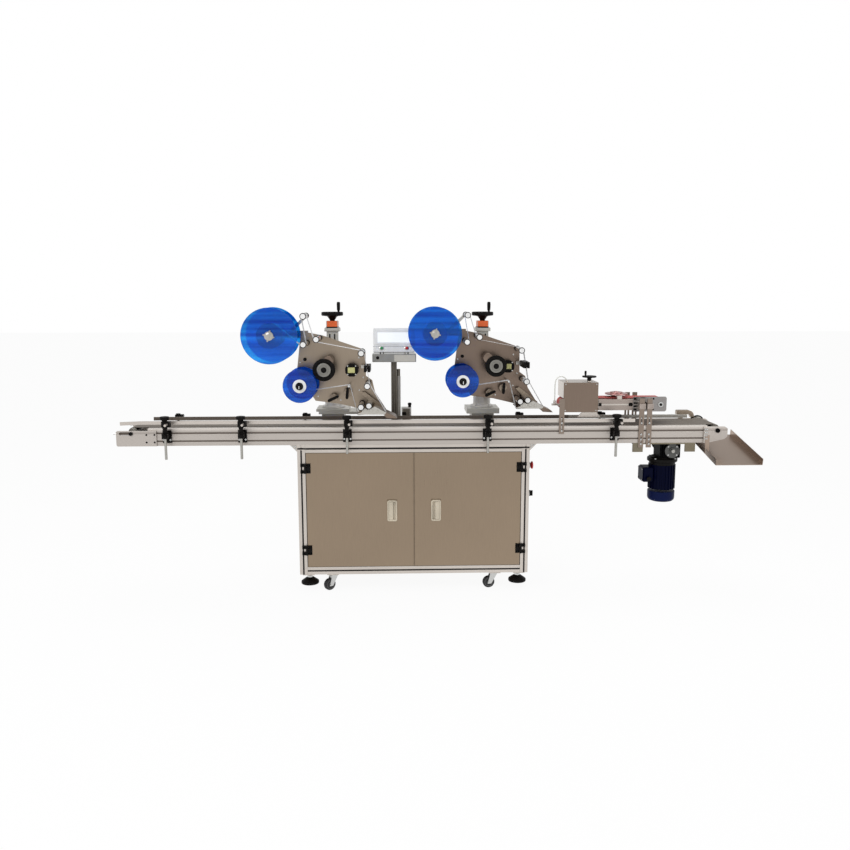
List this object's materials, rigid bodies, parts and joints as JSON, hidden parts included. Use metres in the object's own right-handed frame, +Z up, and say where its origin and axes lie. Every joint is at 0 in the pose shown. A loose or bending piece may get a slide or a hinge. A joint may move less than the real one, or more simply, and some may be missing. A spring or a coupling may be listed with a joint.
{
  "type": "labeling machine",
  "caption": "Floor-standing machine that labels flat goods: a belt conveyor on a cabinet, label heads on columns, a touch panel, a press belt and a discharge tray.",
  "frame": {"origin": "bottom centre of the bounding box, on the floor", "axes": "+X along the conveyor, the way products travel; +Y away from the operator; +Z up"},
  "size_m": [3.213, 0.7962, 1.4943],
  "materials": {
    "frame_alu": "satin",
    "stainless": "brushed",
    "black": "matte",
    "bright": "polished",
    "tyre": "matte",
    "gear": "satin",
    "belt": "matte",
    "navy": "gloss",
    "dark_metal": "satin",
    "steel": "satin",
    "reel": "gloss",
    "red_belt": "matte",
    "panel": "gloss",
    "green": "gloss",
    "red": "gloss",
    "cable": "satin"
  },
  "bodies": {
    "base": {"cabinet_frame": "frame_alu", "cabinet_panels": "stainless", "door_hinges": "black", "levelling_feet": "black", "control_gear": "gear", "conveyor_frame": "frame_alu", "conveyor_bed": "steel", "conveyor_belt": "belt", "drive_motor": "navy", "gearbox": "dark_metal", "drive_chain": "dark_metal", "guide_clamps": "black", "panel_post": "steel", "press_bars": "frame_alu", "discharge_tray": "stainless", "left_column": "frame_alu", "right_column": "frame_alu"},
    "left_door": {"left_door": "stainless"},
    "right_door": {"right_door": "stainless"},
    "front_left_fork": {"front_left_fork": "bright"},
    "front_left_wheel": {"front_left_wheel": "tyre"},
    "front_right_fork": {"front_right_fork": "bright"},
    "front_right_wheel": {"front_right_wheel": "tyre"},
    "rear_left_fork": {"rear_left_fork": "bright"},
    "rear_left_wheel": {"rear_left_wheel": "tyre"},
    "rear_right_fork": {"rear_right_fork": "bright"},
    "rear_right_wheel": {"rear_right_wheel": "tyre"},
    "stop_button": {"stop_button": "red"},
    "power_switch": {"power_switch": "black"},
    "drive_drum": {"drive_drum": "steel"},
    "idler_drum": {"idler_drum": "steel"},
    "gearbox_sprocket": {"gearbox_sprocket": "steel"},
    "front_guide": {"front_guide": "frame_alu"},
    "rear_guide": {"rear_guide": "dark_metal"},
    "touch_panel": {"touch_panel": "panel"},
    "green_button": {"green_button": "green"},
    "red_button": {"red_button": "red"},
    "press_frame": {"press_frame": "stainless", "press_belt": "red_belt", "press_cable": "cable"},
    "press_pulley_left": {"press_pulley_left": "steel"},
    "press_pulley_right": {"press_pulley_right": "steel"},
    "press_handwheel": {"press_handwheel": "black"},
    "left_handwheel": {"left_handwheel": "black"},
    "left_carriage": {"left_carriage": "frame_alu"},
    "left_supply_reel": {"left_supply_reel": "reel"},
    "left_takeup_reel": {"left_takeup_reel": "reel"},
    "left_dancer": {"left_dancer": "steel"},
    "left_drive_roller": {"left_drive_roller": "black"},
    "left_head_plate": {"left_head_plate": "stainless", "left_rollers": "steel"},
    "right_handwheel": {"right_handwheel": "black"},
    "right_carriage": {"right_carriage": "frame_alu"},
    "right_supply_reel": {"right_supply_reel": "reel"},
    "right_takeup_reel": {"right_takeup_reel": "reel"},
    "right_dancer": {"right_dancer": "steel"},
    "right_drive_roller": {"right_drive_roller": "black"},
    "right_head_plate": {"right_head_plate": "stainless", "right_rollers": "steel"}
  },
  "joints": [
    {"name": "left_door_hinge", "type": "hinge", "parent": "base", "child": "left_door", "pos_m": [-0.6553, -0.21095, 0.44], "axis": [0, 0, 1], "range_deg": [-110, 0]},
    {"name": "right_door_hinge", "type": "hinge", "parent": "base", "child": "right_door", "pos_m": [0.4443, -0.21095, 0.44], "axis": [0, 0, 1], "range_deg": [0, 110]},
    {"name": "front_left_swivel", "type": "hinge", "parent": "base", "child": "front_left_fork", "pos_m": [-0.5255, -0.13695, 0.09], "axis": [0, 0, 1], "continuous": true},
    {"name": "front_left_roll", "type": "hinge", "parent": "front_left_fork", "child": "front_left_wheel", "pos_m": [-0.54762, -0.15243, 0.0315], "axis": [-0.5736, 0.8192, 0], "continuous": true},
    {"name": "front_right_swivel", "type": "hinge", "parent": "base", "child": "front_right_fork", "pos_m": [0.3145, -0.13695, 0.09], "axis": [0, 0, 1], "continuous": true},
    {"name": "front_right_roll", "type": "hinge", "parent": "front_right_fork", "child": "front_right_wheel", "pos_m": [0.28776, -0.1407, 0.0315], "axis": [-0.1392, 0.9903, 0], "continuous": true},
    {"name": "rear_left_swivel", "type": "hinge", "parent": "base", "child": "rear_left_fork", "pos_m": [-0.5255, 0.33305, 0.09], "axis": [0, 0, 1], "continuous": true},
    {"name": "rear_left_roll", "type": "hinge", "parent": "rear_left_fork", "child": "rear_left_wheel", "pos_m": [-0.55087, 0.34229, 0.0315], "axis": [0.342, 0.9397, 0], "continuous": true},
    {"name": "rear_right_swivel", "type": "hinge", "parent": "base", "child": "rear_right_fork", "pos_m": [0.3145, 0.33305, 0.09], "axis": [0, 0, 1], "continuous": true},
    {"name": "rear_right_roll", "type": "hinge", "parent": "rear_right_fork", "child": "rear_right_wheel", "pos_m": [0.28842, 0.32606, 0.0315], "axis": [-0.2588, 0.9659, 0], "continuous": true},
    {"name": "stop_press", "type": "slide", "parent": "base", "child": "stop_button", "axis": [-1, 0, 0], "range_m": [0, 0.004], "stiffness_N_per_m": 1500},
    {"name": "power_turn", "type": "hinge", "parent": "base", "child": "power_switch", "pos_m": [0.4945, -0.10195, 0.499], "axis": [1, 0, 0], "range_deg": [0, 90]},
    {"name": "drive_drum_turn", "type": "hinge", "parent": "base", "child": "drive_drum", "pos_m": [1.4445, -0.06695, 0.844], "axis": [0, 1, 0], "continuous": true},
    {"name": "idler_drum_turn", "type": "hinge", "parent": "base", "child": "idler_drum", "pos_m": [-1.5175, -0.06695, 0.844], "axis": [0, 1, 0], "continuous": true},
    {"name": "sprocket_turn", "type": "hinge", "parent": "base", "child": "gearbox_sprocket", "pos_m": [1.2355, -0.06695, 0.729], "axis": [0, 1, 0], "continuous": true},
    {"name": "front_guide_slide", "type": "slide", "parent": "base", "child": "front_guide", "axis": [0, 1, 0], "range_m": [0, 0.04]},
    {"name": "rear_guide_slide", "type": "slide", "parent": "base", "child": "rear_guide", "axis": [0, -1, 0], "range_m": [0, 0.06]},
    {"name": "panel_tilt", "type": "hinge", "parent": "base", "child": "touch_panel", "pos_m": [-0.2035, 0.13005, 1.224], "axis": [1, 0, 0], "range_deg": [-10, 12]},
    {"name": "green_button_press", "type": "slide", "parent": "touch_panel", "child": "green_button", "axis": [0, 0.9781, -0.2079], "range_m": [0, 0.003], "stiffness_N_per_m": 400},
    {"name": "red_button_press", "type": "slide", "parent": "touch_panel", "child": "red_button", "axis": [0, 0.9781, -0.2079], "range_m": [0, 0.003], "stiffness_N_per_m": 400},
    {"name": "press_lift", "type": "slide", "parent": "base", "child": "press_frame", "axis": [0, 0, 1], "range_m": [0, 0.04]},
    {"name": "press_left_turn", "type": "hinge", "parent": "press_frame", "child": "press_pulley_left", "pos_m": [0.6815, -0.06695, 0.97], "axis": [0, 1, 0], "continuous": true},
    {"name": "press_right_turn", "type": "hinge", "parent": "press_frame", "child": "press_pulley_right", "pos_m": [1.1665, -0.06695, 0.97], "axis": [0, 1, 0], "continuous": true},
    {"name": "press_wheel_turn", "type": "hinge", "parent": "press_frame", "child": "press_handwheel", "pos_m": [0.7995, -0.11195, 1.09], "axis": [0, 0, 1], "range_deg": [-30, 3630]},
    {"name": "left_lift", "type": "slide", "parent": "base", "child": "left_carriage", "axis": [0, 0, 1], "range_m": [-0.008, 0.08]},
    {"name": "left_lift_wheel", "type": "hinge", "parent": "base", "child": "left_handwheel", "pos_m": [-0.5355, 0.17805, 1.4], "axis": [0, 0, 1], "range_deg": [-730, 7210]},
    {"name": "left_cross", "type": "slide", "parent": "left_carriage", "child": "left_head_plate", "axis": [0, 1, 0], "range_m": [-0.02, 0.19]},
    {"name": "left_supply_reel_turn", "type": "hinge", "parent": "left_head_plate", "child": "left_supply_reel", "pos_m": [-0.80447, -0.23195, 1.33313], "axis": [0, 1, 0], "continuous": true},
    {"name": "left_takeup_reel_turn", "type": "hinge", "parent": "left_head_plate", "child": "left_takeup_reel", "pos_m": [-0.66248, -0.23195, 1.09031], "axis": [0, 1, 0], "continuous": true},
    {"name": "left_drive_roller_turn", "type": "hinge", "parent": "left_head_plate", "child": "left_drive_roller", "pos_m": [-0.54938, -0.23195, 1.16308], "axis": [0, 1, 0], "continuous": true},
    {"name": "left_dancer_swing", "type": "hinge", "parent": "left_head_plate", "child": "left_dancer", "pos_m": [-0.72338, -0.23195, 1.345], "axis": [0, 1, 0], "range_deg": [-25, 30], "stiffness_Nm_per_rad": 6, "springref_deg": -2.86},
    {"name": "right_lift", "type": "slide", "parent": "base", "child": "right_carriage", "axis": [0, 0, 1], "range_m": [-0.008, 0.08]},
    {"name": "right_lift_wheel", "type": "hinge", "parent": "base", "child": "right_handwheel", "pos_m": [0.2745, 0.17805, 1.4], "axis": [0, 0, 1], "range_deg": [-730, 7210]},
    {"name": "right_cross", "type": "slide", "parent": "right_carriage", "child": "right_head_plate", "axis": [0, 1, 0], "range_m": [-0.19, 0]},
    {"name": "right_supply_reel_turn", "type": "hinge", "parent": "right_head_plate", "child": "right_supply_reel", "pos_m": [0.00553, -0.04195, 1.33313], "axis": [0, 1, 0], "continuous": true},
    {"name": "right_takeup_reel_turn", "type": "hinge", "parent": "right_head_plate", "child": "right_takeup_reel", "pos_m": [0.14752, -0.04195, 1.09031], "axis": [0, 1, 0], "continuous": true},
    {"name": "right_drive_roller_turn", "type": "hinge", "parent": "right_head_plate", "child": "right_drive_roller", "pos_m": [0.3243, -0.04195, 1.16308], "axis": [0, 1, 0], "continuous": true},
    {"name": "right_dancer_swing", "type": "hinge", "parent": "right_head_plate", "child": "right_dancer", "pos_m": [0.08662, -0.04195, 1.345], "axis": [0, 1, 0], "range_deg": [-25, 30], "stiffness_Nm_per_rad": 6, "springref_deg": -2.86}
  ],
  "couplings": [
    {"joint": "idler_drum_turn", "follows": "drive_drum_turn", "ratio": 1},
    {"joint": "sprocket_turn", "follows": "drive_drum_turn", "ratio": 1},
    {"joint": "press_left_turn", "follows": "press_right_turn", "ratio": 1},
    {"joint": "press_wheel_turn", "follows": "press_lift", "rad_per_m": 1570.8},
    {"joint": "left_lift_wheel", "follows": "left_lift", "rad_per_m": 1570.8},
    {"joint": "left_drive_roller_turn", "follows": "left_supply_reel_turn", "ratio": 2.0667},
    {"joint": "left_takeup_reel_turn", "follows": "left_supply_reel_turn", "ratio": 2.3846},
    {"joint": "right_lift_wheel", "follows": "right_lift", "rad_per_m": 1570.8},
    {"joint": "right_drive_roller_turn", "follows": "right_supply_reel_turn", "ratio": 2.0667},
    {"joint": "right_takeup_reel_turn", "follows": "right_supply_reel_turn", "ratio": 2.3846}
  ]
}
